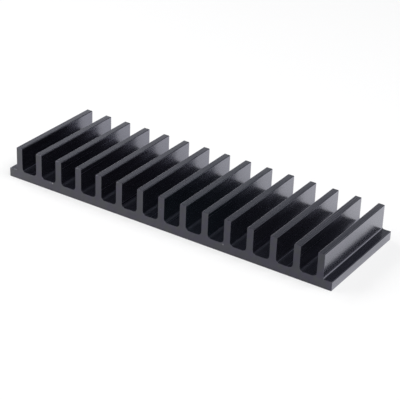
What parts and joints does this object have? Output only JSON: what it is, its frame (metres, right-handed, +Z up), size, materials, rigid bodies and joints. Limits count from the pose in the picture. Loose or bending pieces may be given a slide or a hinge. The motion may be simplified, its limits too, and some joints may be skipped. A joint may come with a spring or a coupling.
{
  "type": "extruded heat sink",
  "caption": "Black anodised aluminium heat sink cut from an extruded bar: a flat base with upright plate fins and a plain flange along each side.",
  "frame": {"origin": "centre of the flat mounting face under the base", "axes": "+X across the row of fins, +Y along the extrusion, +Z up from the mounting face towards the fin tips"},
  "size_m": [0.16, 0.05, 0.015],
  "materials": {
    "black_anodised_aluminium": "black anodised, satin on the extruded faces and matt on the sawn ends"
  },
  "bodies": {
    "root": {"heat_sink": "black_anodised_aluminium"}
  },
  "joints": []
}
